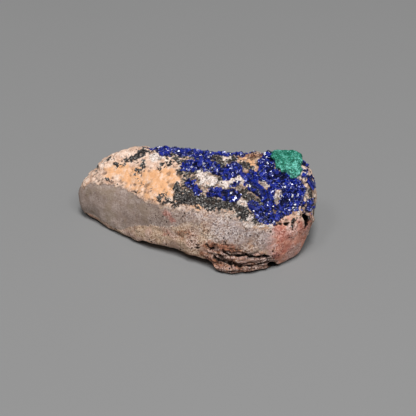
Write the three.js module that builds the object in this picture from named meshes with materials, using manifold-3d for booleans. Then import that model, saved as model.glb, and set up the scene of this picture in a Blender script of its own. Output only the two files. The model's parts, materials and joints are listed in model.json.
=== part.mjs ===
// Azurite specimen: a wedge of pale limestone with a druse of azurite crystals and one
// malachite cushion grown on its domed top.
//
// Millimetres, +Z up. X runs along the wedge, from the narrow tip (-X) to the broad heel (+X).
// The worn face, the rock's longest flat side, looks along -Y. The origin is the centre of the
// bounding box's underside, so the flat foot rests on z = 0.

import * as THREE from "three";
import { ImprovedNoise } from "three/addons/math/ImprovedNoise.js";
import { mergeVertices } from "three/addons/utils/BufferGeometryUtils.js";
import Module from "manifold-3d";

// ---------------------------------------------------------------- driving dimensions

const STEPS_ALONG = 57; // rows of the rock's mesh, tip to heel
const STEPS_AROUND = 51; // columns of the rock's mesh, round its girth
const BROAD_RELIEF = { height: 0.7, size: 9 }; // swells and hollows of the whole surface
const FINE_RELIEF = { height: 0.28, size: 3.6 }; // knobs and chips

// The rock is a skin over named lines, each running from the tip to the heel.
const TIP = [-32.8, -4.0, 6.5];
const HEEL = [32.6, 4.0, 9];
const LINES = {
  front_foot: [
    [-30.4, -5.6, 1.6], [-25.2, -7.4, 0.4], [-16, -10.4, 0.2], [-8, -11.8, 1.2], [0, -12.6, 2.8],
    [9.4, -14.0, 0.6], [18, -13.4, -0.4], [26, -7.6, -0.4], [30.2, -1.6, 0.6],
  ],
  front_belly: [
    [-31.4, -6.2, 4.4], [-26.2, -8.2, 5], [-16.6, -10.8, 5.4], [-8, -12.2, 6], [1, -13.8, 7],
    [11, -14.9, 6.2], [19, -14.0, 6.2], [27, -8.4, 7], [31.6, -1.0, 7],
  ],
  face_top: [
    [-31.6, -6.0, 8.6], [-26, -7.6, 11], [-17.2, -8.2, 11.8], [-8.6, -10.6, 12.8], [2.4, -12.6, 12.4],
    [12, -12.6, 12], [19.4, -11.6, 11.6], [27, -7.2, 11.4], [31.6, -1.4, 11],
  ],
  ridge: [
    [-31.0, -5.2, 10.6], [-25.6, -6.4, 12.8], [-17, -6.2, 13.8], [-8.6, -9.2, 15], [2.4, -11.2, 14.4],
    [12, -10.8, 14.2], [19.4, -10.0, 13.6], [27, -6.2, 13.2], [31.4, -0.8, 13.2],
  ],
  brow: [
    [-30.2, -3.0, 11.6], [-24.8, -2.8, 15.4], [-16.4, -1.8, 17.6], [-7.6, -2.4, 18.8], [3, -3.4, 18.6],
    [12.4, -2.8, 18.9], [19.6, -1.2, 19.2], [26.0, 0.6, 18.6], [29.8, 2.2, 16.4],
  ],
  crown: [
    [-30.2, -1.4, 12.2], [-25, 1.8, 16.4], [-17, 4.4, 19.4], [-7.2, 6.0, 20.5], [3, 7.8, 20.8],
    [12, 9.0, 21.5], [19, 10.2, 22.8], [26.0, 11.4, 23.2], [29.2, 9.8, 20.2],
  ],
  back: [
    [-30.6, 0, 8], [-25.4, 4.8, 9.6], [-17, 8.2, 11], [-7, 10.2, 12], [3, 12.2, 12.4],
    [12, 13.8, 12.8], [19, 14.8, 13.4], [25.6, 15.0, 13.6], [30.4, 11.0, 12.6],
  ],
  back_foot: [
    [-29.4, -1.2, 2], [-24.6, 2.2, -0.6], [-16.6, 5.2, -1], [-7, 7.2, -1], [3, 8.6, -1],
    [12, 10.2, -1], [19, 11.2, -1], [25, 10.2, -0.8], [29, 6.4, 0.8],
  ],
  keel: [
    [-29.4, -4.0, 1.6], [-24.6, -3.4, -1.2], [-16, -3.4, -1.5], [-7, -2.4, -1.5], [3, -2.0, -1.4],
    [12, -1.8, -1.5], [19, -1.4, -1.5], [25.4, 0, -1.2], [29.4, 1.6, 0.6],
  ],
};

// Crusts grown on the rock: the gap under them, and how high their crystal tips stand.
const CRUST = { gap: 0.3, tips: 1.3 };
const CRUST_FLOOR = 8; // crusts with an outline grow only above this height

// Outlines as seen from above, as smooth closed curves. A druse of several lobes is one solid.
const MAIN_DRUSE = {
  back_band: [
    [-11.5, 4], [-10, 2.5], [-7.5, 2.5], [-5, 3.5], [-0.5, 4], [0, 2], [3, 3],
    [2.5, 4.5], [7, 5.5], [11.5, 7], [12, 8.5], [9, 10], [2, 9.5], [-4, 8.5],
    [-9, 7], [-12, 5.5],
  ],
  sweep: [
    [-3, 0], [-2.5, -1], [2, 0], [6, -1], [8.5, -0.5], [10, -1], [12, -2.5],
    [13.5, -1.5], [18, 0], [17, 3.5], [15, 1.5], [12.5, 1.5], [11.5, 3.5], [9.5, 4],
    [6, 2], [3, 3.5], [0, 2.5], [-2, 1],
  ],
  shoulder: [
    [16, 3], [17.5, 0.5], [20, 1], [20.5, 0], [20, -1], [16.5, -1.5], [17, -2.5],
    [20.5, -3.5], [20.5, -4.5], [18.5, -5.5], [18.5, -6.5], [20.5, -7], [22, -8], [24, -7.5],
    [26, -5.5], [29.5, -1], [29.5, 4], [27.5, 4.5], [22, 4], [20.5, 6], [18.5, 11],
    [16, 11], [17, 7], [16, 5.5],
  ],
};
const BARE_WINDOWS = [[24.3, -1.8, 0.8], [24.2, -3.8, 0.7], [23.2, -6, 0.6]]; // x, y, radius
const FRONT_STRIP = [
  [6.5, -6], [7, -7], [8.5, -6.5], [10, -6], [11.5, -6.5], [13, -6.5], [14.5, -6],
  [15, -4.5], [14, -4], [12.5, -3.5], [10.5, -4], [8.5, -4.5],
];
const FRONT_SPOTS = [
  [0.5, -4.5], [1, -5.5], [2.5, -6], [3.5, -7], [4.5, -7], [4.5, -6], [3, -5],
  [1.5, -4],
];
const MALACHITE = [
  [18.5, 9.5], [20, 7], [20.5, 5], [22, 4.5], [24, 4.5], [25.5, 4], [27, 4.5],
  [27.5, 6.5], [27.5, 8], [26.5, 10.5], [24.5, 12], [21, 12],
];
const DRUSE_CLEARANCE = 0.35; // between the main druse and the malachite

// Small clumps on the heel, each a capsule between two points on the skin.
const CLUMPS = {
  azurite_clump_corner: { ends: [[27.4, 10.8, 22.2], [27.0, 12.4, 21.2]], radius: 1.2 },
  azurite_clump_top: { ends: [[28.2, 8.6, 21.7], [28.6, 9.8, 21.2]], radius: 0.8 },
  azurite_clump_heel: { ends: [[29.4, 6.6, 20.2], [31.0, 8.2, 17.8]], radius: 1.2 },
  azurite_clump_low: { ends: [[31.2, 1.0, 14.4], [31.9, 4.6, 13.7]], radius: 1.3 },
};

// Openings in the rock: a line along the mouth, the mouth's height and the depth.
const CRACKS = [
  {
    mouth: 0.9,
    depth: 3,
    line: [
      [12.6, -14.8, 8.2], [14.6, -14.8, 6.9], [16.6, -14.6, 6.4], [19, -14, 6.6],
      [21.5, -12.9, 6.1], [22.8, -12, 6.5], [25, -10.4, 5.5],
    ],
  },
  {
    mouth: 1.1,
    depth: 3.2,
    line: [
      [11.4, -15, 6.3], [13.8, -15.1, 4.8], [16.2, -15, 3.8], [19.2, -14, 3.3],
      [22, -12.6, 3.4], [25.4, -10, 3.2],
    ],
  },
  { mouth: 1.2, depth: 2.6, line: [[31, -0.5, 14.8], [31.8, -0.5, 12.4], [31.9, -0.9, 9.2]] },
];
const CRACK_AXIS = [10, 0]; // x and y of the upright line that every crack runs in towards
const CRACK_END = 0.3; // share of its mouth that a crack keeps at its two ends
const POCKET = { at: [26, -8.8, 1.5], size: [1.9, 1.7, 1.4] }; // under the end of the lowest ledge

const BEYOND = 200; // longer than the specimen, for the solids that cut right through it

// ---------------------------------------------------------------- solids

const wasm = await Module();
wasm.setup();
const noise = new ImprovedNoise();

function relief(point, { height, size }) {
  return height * noise.noise(point.x / size + 7.3, point.y / size + 1.9, point.z / size + 4.1);
}

// A closed skin through the lines: the tip, rows of points round the girth, and the heel.
function rockSkin() {
  const rails = Object.values(LINES).map(
    (points) =>
      new THREE.CatmullRomCurve3([TIP, ...points, HEEL].map((p) => new THREE.Vector3(...p))),
  );
  const positions = [...TIP];
  for (let row = 1; row < STEPS_ALONG; row++) {
    const ring = rails.map((rail) => rail.getPoint(row / STEPS_ALONG));
    const girth = new THREE.CatmullRomCurve3(ring, true);
    for (let column = 0; column < STEPS_AROUND; column++) {
      positions.push(...girth.getPoint(column / STEPS_AROUND).toArray());
    }
  }
  positions.push(...HEEL);

  const index = [];
  const at = (row, column) => 1 + (row - 1) * STEPS_AROUND + (column % STEPS_AROUND);
  const heel = positions.length / 3 - 1;
  for (let column = 0; column < STEPS_AROUND; column++) {
    index.push(0, at(1, column), at(1, column + 1));
    index.push(heel, at(STEPS_ALONG - 1, column + 1), at(STEPS_ALONG - 1, column));
    for (let row = 1; row < STEPS_ALONG - 1; row++) {
      const [a, b] = [at(row, column), at(row, column + 1)];
      const [c, d] = [at(row + 1, column), at(row + 1, column + 1)];
      index.push(a, d, b, a, c, d);
    }
  }
  const skin = new THREE.BufferGeometry();
  skin.setAttribute("position", new THREE.Float32BufferAttribute(positions, 3));
  skin.setIndex(index);
  skin.computeVertexNormals();
  return skin;
}

// The skin moved along its normals: by the relief, and by a constant lift.
function raised(skin, height) {
  const moved = skin.clone();
  const { position, normal } = moved.attributes;
  const point = new THREE.Vector3();
  const out = new THREE.Vector3();
  for (let i = 0; i < position.count; i++) {
    point.fromBufferAttribute(position, i);
    out.fromBufferAttribute(normal, i);
    point.addScaledVector(out, height(point));
    position.setXYZ(i, ...point.toArray());
  }
  moved.computeVertexNormals();
  return moved;
}

function solidOf(geometry) {
  const bare = geometry.clone();
  bare.deleteAttribute("normal");
  bare.deleteAttribute("uv");
  const merged = mergeVertices(bare, 1e-4);
  return new wasm.Manifold(
    new wasm.Mesh({
      numProp: 3,
      vertProperties: merged.attributes.position.array,
      triVerts: new Uint32Array(merged.index.array),
    }),
  );
}

function geometryOf(solid) {
  const { vertProperties, triVerts } = solid.getMesh();
  const geometry = new THREE.BufferGeometry();
  geometry.setAttribute("position", new THREE.BufferAttribute(vertProperties, 3));
  geometry.setIndex(new THREE.BufferAttribute(triVerts, 1));
  return geometry;
}

// A block standing on an outline, from the crusts' floor upwards.
function blockOver(outline) {
  const curve = new THREE.CatmullRomCurve3(
    outline.map(([x, y]) => new THREE.Vector3(x, y, 0)),
    true,
  );
  const rim = curve.getPoints(outline.length * 2);
  const shape = new THREE.Shape(rim.map((p) => new THREE.Vector2(p.x, p.y)));
  const block = new THREE.ExtrudeGeometry(shape, { depth: BEYOND, bevelEnabled: false });
  return solidOf(block.translate(0, 0, CRUST_FLOOR));
}

function capsuleBetween([from, to], radius) {
  const [start, end] = [new THREE.Vector3(...from), new THREE.Vector3(...to)];
  const along = end.clone().sub(start);
  const [arcSteps, roundSteps] = [3, 10];
  const capsule = new THREE.CapsuleGeometry(radius, along.length(), arcSteps, roundSteps);
  const turn = new THREE.Quaternion().setFromUnitVectors(
    new THREE.Vector3(0, 1, 0),
    along.normalize(),
  );
  const middle = start.add(end).multiplyScalar(0.5);
  return solidOf(capsule.applyQuaternion(turn).translate(...middle.toArray()));
}

// A wedge that opens a crack: its mouth stands outside the rock and its edge lies inside.
function crackBlade({ mouth, depth, line }) {
  const points = line.map((p) => new THREE.Vector3(...p));
  const positions = [];
  points.forEach((point, i) => {
    const along = points[Math.min(i + 1, points.length - 1)]
      .clone()
      .sub(points[Math.max(i - 1, 0)])
      .normalize();
    const inward = new THREE.Vector3(...CRACK_AXIS, point.z).sub(point).normalize();
    const across = new THREE.Vector3().crossVectors(inward, along).normalize();
    const end = i === 0 || i === points.length - 1;
    const half = (end ? CRACK_END : 1) * mouth;
    const mouthCentre = point.clone().addScaledVector(inward, -depth);
    positions.push(...mouthCentre.clone().addScaledVector(across, half).toArray());
    positions.push(...mouthCentre.clone().addScaledVector(across, -half).toArray());
    positions.push(...point.clone().addScaledVector(inward, depth).toArray());
  });
  const last = positions.length / 3 - 3;
  const index = [0, 1, 2, last, last + 2, last + 1];
  for (let ring = 0; ring < last; ring += 3) {
    for (let side = 0; side < 3; side++) {
      const [a, b] = [ring + side, ring + ((side + 1) % 3)];
      index.push(a, b + 3, b, a, a + 3, b + 3);
    }
  }
  const blade = new THREE.BufferGeometry();
  blade.setAttribute("position", new THREE.Float32BufferAttribute(positions, 3));
  blade.setIndex(index);
  return solidOf(blade);
}

const bare = raised(rockSkin(), (p) => relief(p, BROAD_RELIEF) + relief(p, FINE_RELIEF));
const whole = solidOf(bare);
const aboveFoot = solidOf(
  new THREE.BoxGeometry(BEYOND, BEYOND, BEYOND).translate(0, 0, BEYOND / 2),
);
const pocket = new THREE.IcosahedronGeometry(1, 2).scale(...POCKET.size).translate(...POCKET.at);
const crustZone = solidOf(raised(bare, () => CRUST.tips)).subtract(
  solidOf(raised(bare, () => CRUST.gap)),
);

// The malachite's block with the clearance round it, which the azurite crusts keep out of.
function roomRound(outline, clearance) {
  const centre = outline
    .reduce((sum, point) => sum.add(new THREE.Vector2(...point)), new THREE.Vector2())
    .divideScalar(outline.length);
  const grown = outline.map((point) => {
    const out = new THREE.Vector2(...point).sub(centre);
    return out.setLength(out.length() + clearance).add(centre).toArray();
  });
  return blockOver(grown);
}
const malachiteRoom = roomRound(MALACHITE, DRUSE_CLEARANCE);

function rock() {
  const openings = [...CRACKS.map(crackBlade), solidOf(pocket)];
  return openings.reduce((solid, opening) => solid.subtract(opening), whole.intersect(aboveFoot));
}

function mainDruse() {
  const field = Object.values(MAIN_DRUSE)
    .map(blockOver)
    .reduce((joined, lobe) => joined.add(lobe));
  const windows = BARE_WINDOWS.map(([x, y, radius]) => {
    const upright = new THREE.CylinderGeometry(radius, radius, BEYOND, 12).rotateX(Math.PI / 2);
    return solidOf(upright.translate(x, y, 0));
  });
  const cuts = [...windows, malachiteRoom];
  return crustZone.intersect(cuts.reduce((solid, cut) => solid.subtract(cut), field));
}

const crust = (outline) => crustZone.intersect(blockOver(outline));

// ---------------------------------------------------------------- the specimen

const LIMESTONE = { color: 0xa8968a, roughness: 0.95, metalness: 0 };
const AZURITE = { color: 0x10208c, roughness: 0.25, metalness: 0 };
const GREEN_CUSHION = { color: 0x2c9c78, roughness: 0.6, metalness: 0 };

const pieces = [
  ["matrix_rock", rock(), LIMESTONE],
  ["azurite_main_druse", mainDruse(), AZURITE],
  ["azurite_front_strip", crust(FRONT_STRIP), AZURITE],
  ["azurite_front_spots", crust(FRONT_SPOTS), AZURITE],
  ...Object.entries(CLUMPS).map(([name, { ends, radius }]) => [
    name,
    crustZone.intersect(capsuleBetween(ends, radius)).subtract(malachiteRoom),
    AZURITE,
  ]),
  ["malachite_cushion", crust(MALACHITE), GREEN_CUSHION],
];

const specimen = new THREE.Group();
for (const [name, solid, look] of pieces) {
  const mesh = new THREE.Mesh(geometryOf(solid), new THREE.MeshStandardMaterial(look));
  mesh.name = name;
  specimen.add(mesh);
}
const box = new THREE.Box3().setFromObject(specimen);
const middle = box.getCenter(new THREE.Vector3());
specimen.position.set(-middle.x, -middle.y, -box.min.z);

export default specimen;
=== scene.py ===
"""Azurite specimen: the fine rock, its crystals and its malachite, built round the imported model.

The file is laid out as an add-on. Each piece or group of like pieces has an operator, and a panel
in the 3D view's sidebar lists them. Lengths in tables and in the relief are millimetres.
"""

import json
import math

import bmesh
import bpy
import numpy as np
from bpy.props import FloatProperty, FloatVectorProperty, IntProperty, PointerProperty
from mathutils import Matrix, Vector, noise
from mathutils.bvhtree import BVHTree
from mathutils.kdtree import KDTree

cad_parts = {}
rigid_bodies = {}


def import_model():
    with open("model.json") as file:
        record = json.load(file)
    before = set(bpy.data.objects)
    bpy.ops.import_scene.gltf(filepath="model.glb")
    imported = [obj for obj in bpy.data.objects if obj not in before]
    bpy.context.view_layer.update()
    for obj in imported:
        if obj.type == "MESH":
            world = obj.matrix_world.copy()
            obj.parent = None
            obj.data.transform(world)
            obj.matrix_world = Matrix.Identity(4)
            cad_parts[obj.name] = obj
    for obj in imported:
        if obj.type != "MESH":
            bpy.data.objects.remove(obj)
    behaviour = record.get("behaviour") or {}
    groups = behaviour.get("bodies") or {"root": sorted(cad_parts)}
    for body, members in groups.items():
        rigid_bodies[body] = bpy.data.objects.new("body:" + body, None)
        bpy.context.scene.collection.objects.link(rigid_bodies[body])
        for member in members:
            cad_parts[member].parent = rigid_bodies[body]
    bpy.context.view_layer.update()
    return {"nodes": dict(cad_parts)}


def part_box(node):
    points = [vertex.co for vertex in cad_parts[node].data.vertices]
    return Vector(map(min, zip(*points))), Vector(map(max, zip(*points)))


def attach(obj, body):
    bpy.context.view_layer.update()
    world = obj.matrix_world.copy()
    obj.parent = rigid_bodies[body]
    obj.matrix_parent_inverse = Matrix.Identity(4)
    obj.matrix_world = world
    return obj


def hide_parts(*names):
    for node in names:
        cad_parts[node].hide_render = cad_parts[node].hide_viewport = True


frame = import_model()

bl_info = {
    "name": "Azurite specimen",
    "version": (1, 0, 0),
    "blender": (4, 5, 0),
    "location": "3D View > Sidebar > Specimen",
    "description": "Builds the limestone, its azurite and malachite, and a studio stage",
    "category": "Object",
}

MM = 0.001
BODY = "root"
AZURITE_NODES = [
    "azurite_main_druse",
    "azurite_front_strip",
    "azurite_front_spots",
    "azurite_clump_corner",
    "azurite_clump_top",
    "azurite_clump_heel",
    "azurite_clump_low",
]

# ---------------------------------------------------------------- where the rock's coatings lie

# Each stroke is a radius and the points it runs through, in millimetres. Together the strokes of a
# coating cover its area. Its edges are roughened afterwards.
STROKES = {
    # the black oxide film and its drusy crusts
    "oxide": [
        (0.7, (-21.5, -2, 17), (-19.5, -0.5, 18), (-18, 0, 18.5)),
        (1, (-18, 0, 18.5), (-17, 1, 19), (-15.5, 2.5, 19.5)),
        (0.6, (-15.5, 2.5, 19.5), (-14.5, 3.5, 20), (-12.5, 3.5, 20.5), (-10.5, 3.5, 20.5)),
        (0.4, (-28, -2, 14), (-26, -1.5, 15.5), (-24, -0.5, 16.5)),
        (0.6, (-14.5, -0.5, 19), (-14, -2, 18.5), (-14, -3.5, 17.5), (-15.5, -3, 17)),
        (0.8, (-9, -2, 19.5), (-8, -1, 20), (-7, -0.5, 20), (-6.5, 0, 20)),
        (0.4, (-8.5, 1.5, 20.5), (-8, 1, 20.5)),
        (0.7, (-7.5, 3, 21), (-5, 1.5, 20.5), (-3.5, 0.5, 20.5)),
        (0.7, (-8.5, 2.5, 20.5), (-5.5, 2.5, 21), (-2.5, 3, 21), (0.5, 4, 21)),
        (0.9, (-6.5, 2, 20.5), (-4.5, 1, 20.5), (-2.5, 0.5, 20.5), (-1.5, -0.5, 20)),
        (0.8, (-3.5, -2, 19.5), (-2, -2, 19.5), (-0.5, -1, 19.5), (1.5, -1, 19.5)),
        (0.8, (-2, -2.5, 19), (-1, -4, 18.5), (-0.5, -5.5, 18)),
        (0.8, (-2.5, -6, 17.5), (-2, -7.5, 17)),
        (1.8, (-0.5, -8.5, 16.5), (1.5, -8.5, 16), (3, -8.5, 16)),
        (1, (-1, -7, 17), (1.5, -7, 17), (4.5, -6.5, 17.5)),
        (0.7, (-5, -9, 16), (-5.5, -10, 15), (-4.5, -10.5, 14.5), (-2.5, -10, 15)),
        (0.7, (-2.5, -10, 15), (-1, -10, 15.5), (-0.5, -11, 14.5), (0.5, -9.5, 15.5)),
        (2, (3, -8.5, 16.5), (5, -8.5, 16.5), (7, -8.5, 16.5), (9, -8.5, 16.5)),
        (1.7, (9, -8.5, 16), (11, -8, 16), (13, -7.5, 16.5), (14.5, -6.5, 17)),
        (1.6, (15, -7, 16.5), (17, -8, 15.5), (18, -9, 15), (20.5, -8.5, 14.5)),
        (0.8, (6, -5, 18), (7, -3.5, 18.5), (7.5, -2, 19), (8, -1, 19.5)),
        (0.7, (-0.5, -2, 19.5), (1.5, -3, 19), (2.5, -4.5, 18.5)),
        (1.1, (14.5, -3.5, 18.5), (16.5, -4.5, 18), (18.5, -5.5, 17.5)),
        (1, (18, -5, 17.5), (19.5, -5, 17.5), (20.5, -4.5, 17)),
        (0.8, (15, -3, 18.5), (16.5, -4, 18.5), (18.5, -4, 18)),
        (1, (2.5, 5.5, 21), (4.5, 4.5, 21), (6.5, 3.5, 21), (7, 2.5, 20.5)),
        (0.9, (8.5, 5.5, 21.5), (9.5, 6, 22)),
        (0.6, (4.5, 6.5, 21.5), (8, 7, 22), (10, 7.5, 22)),
        (0.8, (-3, 4, 21), (-0.5, 5.5, 21)),
        (0.6, (6.5, 6.5, 21.5), (8.5, 6.5, 21.5)),
        (0.8, (-4.5, 3, 21), (-2.5, 3.5, 21)),
        (1.2, (11.5, 4.5, 21.5), (13.5, 4, 21.5), (14.5, 3, 21.5)),
        (0.8, (13.5, 9.5, 22.5), (17.5, 9.5, 23)),
        (0.7, (31, 5.5, 15.5), (31, 4, 15.5), (32, 3, 13)),
        (0.9, (31, 5, 15.5), (31.5, 5.5, 13.5), (32, 5.5, 12)),
        (0.7, (12.5, 4, 21.5), (13.5, 3, 21.5)),
        (0.6, (32.5, 2.5, 9.5), (32.5, 1.5, 11), (32.5, 0.5, 12.5)),
        (0.4, (29.5, -4, 13.5), (29.5, -4.5, 12.5)),
        (0.4, (30.5, -3, 13.5), (30.5, -3.5, 12.5)),
        (0.3, (-14, -4.5, 16), (-13.5, -5, 16)),
        (0.3, (-12.5, -6, 16), (-11.5, -6, 16.5)),
        (0.3, (-23, -5.5, 14), (-22.5, -5.5, 14)),
        (0.3, (-9.5, -9, 15.5), (-9, -8.5, 15.5)),
        (0.6, (11.5, 8.5, 22), (14.5, 9.5, 22.5), (17.5, 9.5, 23)),
        (0.7, (30.5, 5.5, 17), (31, 5, 15.5)),
        (0.9, (0, 12, 17), (4, 12, 15.5), (6, 12.5, 15)),
        (0.5, (6, 12.5, 15), (9, 14, 12), (8.5, 14, 10)),
        (0.5, (-12, 9, 14), (-10, 9.5, 15.5), (-8, 9, 17)),
        (0.6, (20, 15, 14), (23, 14.5, 17), (26, 14, 17.5)),
        (0.5, (-18, 6, 15), (-16, 6.5, 16.5)),
    ],
    # iron-stained, orange
    "orange": [
        (1.7, (-23, -4, 15), (-21, -3, 16.5), (-19.5, -2.5, 17)),
        (2.4, (-17.5, -4, 15.5), (-15, -4, 16), (-12, -5, 16.5)),
        (3.2, (-9.5, -5, 17), (-7, -6, 17), (-5, -7, 17)),
        (2, (-7, -3, 18.5), (-4, -4.5, 18.5), (-3.5, -7.5, 16.5)),
        (1, (-17, -6, 15), (-14, -7, 15), (-11.5, -8.5, 15), (-9, -9.5, 15)),
        (0.7, (-9, -9.5, 15), (-6.5, -10, 15), (-5, -10, 15)),
        (1.2, (11.5, 6, 22), (13, 6, 22), (14.5, 4.5, 22), (16, 3, 21.5)),
        (0.9, (12, 7.5, 22), (15, 7.5, 22.5)),
        (0.9, (14.5, 4.5, 22), (16, 3.5, 22)),
        (0.6, (10.5, 7, 21.5), (11, 8, 21.5)),
        (0.8, (4.5, -10, 15.5), (5.5, -10, 15.5)),
        (0.6, (11, -7, 16.5), (11.5, -6.5, 17)),
        (0.4, (19.5, -10, 13.5), (21.5, -9.5, 13), (24, -8.5, 12.5)),
    ],
    # chalky, pale
    "cream": [
        (1.4, (2.5, -1.5, 19.5), (4.5, -2, 19), (6.5, -2.5, 19)),
        (0.4, (6.5, 5.5, 21.5), (8, 6, 21.5)),
        (0.8, (4, -4, 18.5), (3.5, -2.5, 19)),
        (0.8, (8.5, -2.5, 19), (10, -2.5, 19), (11.5, -2, 19)),
        (0.9, (11.5, -1, 19.5), (12.5, 0, 20), (14, -1, 19.5)),
        (0.9, (15.5, -6, 17.5), (16.5, -6, 17)),
        (1.2, (24, -1, 18.5), (24, -2, 17.5)),
        (0.6, (23.5, -5.5, 15.5), (23.5, -6, 15)),
        (0.9, (19.5, -0.5, 20), (20.5, 0.5, 20)),
        (0.4, (18, 0, 20), (19.5, -0.5, 20)),
        (1.2, (26.5, 3.5, 21), (27, 6.5, 21.5), (28.5, 7.5, 20.5)),
        (1.1, (29, 3.5, 18.5), (30, 4, 17.5)),
        (0.4, (29.5, -1.5, 15), (30, -2, 14.5)),
        (1.2, (-12.5, 1.5, 20), (-10, 2, 20)),
        (0.7, (-11.5, 0, 19.5), (-11, 0.5, 20)),
        (0.4, (19, -9.5, 14.5), (19.5, -8.5, 15)),
        (0.5, (19, -10.5, 13.5), (21.5, -9.5, 13.5), (23, -8.5, 13), (25, -7.5, 13)),
    ],
    # brown and olive, in the rock's hollows between the crusts
    "brown": [
        (0.9, (13, 8.5, 22), (16, 8, 22.5), (18.5, 8, 23)),
        (0.8, (30, 5, 17.5), (31, 5, 16)),
        (0.4, (30.5, 6, 18), (31, 5.5, 16)),
        (0.5, (15, -3, 18.5), (16.5, -4, 18.5), (18, -4, 18.5), (20.5, -4.5, 17)),
        (0.5, (20.5, -0.5, 19.5), (18.5, 0, 20)),
        (0.5, (12, 7.5, 22), (14.5, 7, 22)),
        (0.7, (24, -2, 17.5), (24.5, -3, 17)),
        (0.7, (24.5, -4.5, 16), (25, -5, 15.5)),
        (0.7, (-0.5, -2, 19.5), (1.5, -3, 19), (1, -4, 18.5)),
    ],
    # iron-red spots and streaks
    "rust": [
        (0.5, (-3.5, -12, 12.5), (-1.5, -12.5, 12), (-1, -12.5, 11.5)),
        (0.4, (-3, -13.5, 7), (-2, -13.5, 7.5)),
        (1.3, (26.5, -7, 12), (27, -7.5, 11), (28.5, -6.5, 9.5)),
        (0.6, (27.5, -8, 7.5), (29, -6, 6.5)),
        (0.9, (31.5, -2.5, 10.5), (31, -3, 11.5)),
        (0.8, (32, 0, 9), (32, 1, 8.5)),
        (0.8, (30.5, -2.5, 12.5), (31, -3, 11)),
        (0.9, (28, -7, 6), (29.5, -5.5, 5.5)),
        (0.7, (26.5, -9, 5), (27, -8.5, 4)),
        (0.4, (-28, -7, 2), (-26, -8, 1.5)),
        (2.5, (-16, 8, 10), (-10, 10, 6)),
        (2.2, (12, 14.5, 8), (17, 15, 4)),
    ],
    # reddish brown, along the bedding
    "umber": [
        (0.7, (10.5, 8, 22), (14, 9, 22.5), (16.5, 9, 23)),
        (1, (9.5, -14.5, 7), (11.5, -15, 8), (14, -14.5, 8), (16, -14.5, 8)),
        (0.8, (16, -14.5, 8), (18, -14.5, 8)),
        (0.7, (8.5, -14.5, 4.5), (11, -15, 3.5), (13, -15.5, 2.5)),
        (0.6, (3.5, -13.5, 2.5), (7.5, -14.5, 2)),
        (0.6, (1.5, -14, 8), (2.5, -14, 7.5)),
        (0.3, (1.5, -14, 8), (3, -13.5, 9), (4.5, -13.5, 9)),
    ],
    # painted shade: a faint brown darkening
    "painted_shade": [
        (3, (18.5, -12, 10.5), (23.5, -10.5, 10)),
        (2.5, (-4, -12, 12), (1, -12.5, 12), (5, -12.5, 12)),
        (1.5, (-16, -11, 6), (-10, -12, 8)),
        (1.5, (12, -15, 5), (16, -15, 4)),
    ],
    # bluish grey
    "ashen": [
        (1.3, (24, -9.5, 11), (25, -10, 8.5), (25.5, -9.5, 6)),
        (1.3, (13, -12, 12.5), (16.5, -12, 12.5)),
        (0.9, (14, -13.5, 11), (19, -12, 12)),
    ],
    # narrow openings: cut in, and painted near black as the shade in them
    "slit": [
        (0.25, (14.5, -14.5, 6.5), (16, -14.5, 6), (18, -14, 6), (20, -13, 6)),
        (0.3, (20, -13, 6), (22, -12.5, 5.5), (23.5, -11.5, 5.5), (25, -10.5, 5)),
        (0.35, (12, -15, 4.5), (13.5, -15, 4), (15, -15, 4), (16.5, -14.5, 3)),
        (0.25, (17.5, -14.5, 3), (20, -13.5, 3), (22, -12.5, 3), (25, -10, 3)),
        (0.15, (16, -14.5, 1.5), (18.5, -14, 1.5), (22, -12, 2)),
        (0.8, (25, -8, 1), (26, -8, 0.5)),
        (0.2, (9.5, -14.5, 7.5), (10.5, -15, 6.5), (11.5, -15, 7)),
        (0.15, (14, -14.5, 7.5), (15, -14.5, 6.5)),
        (0.2, (26, -9.5, 6.5), (26.5, -9.5, 6.5)),
        (0.75, (31.5, -0.5, 13), (31.5, -0.5, 12), (32, -0.5, 10)),
        (0.15, (5, -14, 7), (5.5, -14, 6.5)),
        (0.12, (6.5, -14.5, 6.5), (7, -14.5, 6.5)),
        (0.12, (6.5, -14.5, 5.5), (7.5, -14.5, 6)),
        (0.12, (4.5, -14, 5), (5, -14, 5)),
        (0.3, (27.9, -5.6, 13), (28.4, -5.2, 12.9)),
        (0.2, (25.8, -7.2, 13.2), (27, -6.3, 13.3)),
        (0.2, (29.5, -3.8, 13.8), (29.7, -4.2, 12.8)),
        (0.02, (-15, -7.5, 13.5), (-12.5, -8.5, 14.2), (-11, -8.6, 15.2), (-9.5, -9, 15.6)),
    ],
}

# Bands of the front face: height limits at places along x, and the y that they lie in front of.
BANDS = {
    "worn": {
        "x": (-36, -31, -28, -23, -19, -16, -13.5, -11, -6, -1, 4, 8),
        "low": (1.5, 2, 2.6, 2.5, 2.3, 2.9, 5, 6.5, 8, 9.5, 12, 14.5),
        "high": (8, 9.8, 12, 13.3, 13.6, 13.2, 13.3, 13.5, 13.3, 13.6, 14.3, 14.6),
        "front": -4.5,
    },
    "beige": {
        "x": (-34, -27, -21, -14, -10, -6, -1, 4, 10),
        "low": (-2, -2, -2, -2, -2, -2, -2, -2, -2),
        "high": (3.5, 3.5, 3.5, 5.5, 7, 8, 9.5, 11, 9),
        "front": -4.5,
    },
    "mottled": {
        "x": (-2, 2, 6, 9, 12, 16, 20, 24, 28, 36),
        "low": (13.6, 13, 12, 11, 9, 8.5, 7.5, 6.8, 4, 4),
        "high": (13.7, 14.2, 15.2, 15.5, 15.5, 15, 13.8, 13, 12.5, 9),
        "front": -3,
    },
    "ledges": {
        "x": (9, 11, 14, 17, 21, 24, 27),
        "low": (-2, -2, -2, -2, -2, -2, -2),
        "high": (5, 8, 9.2, 8.6, 7.2, 6.6, 3),
        "front": -4,
    },
    "rosy": {
        "x": (25, 26, 28, 30, 36),
        "low": (3, 1, 0, 0, 0),
        "high": (13, 13.6, 13.8, 13, 11),
        "front": 3,
    },
}
COATINGS = [*BANDS, *STROKES, "bed", "crown", "bay"]

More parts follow.
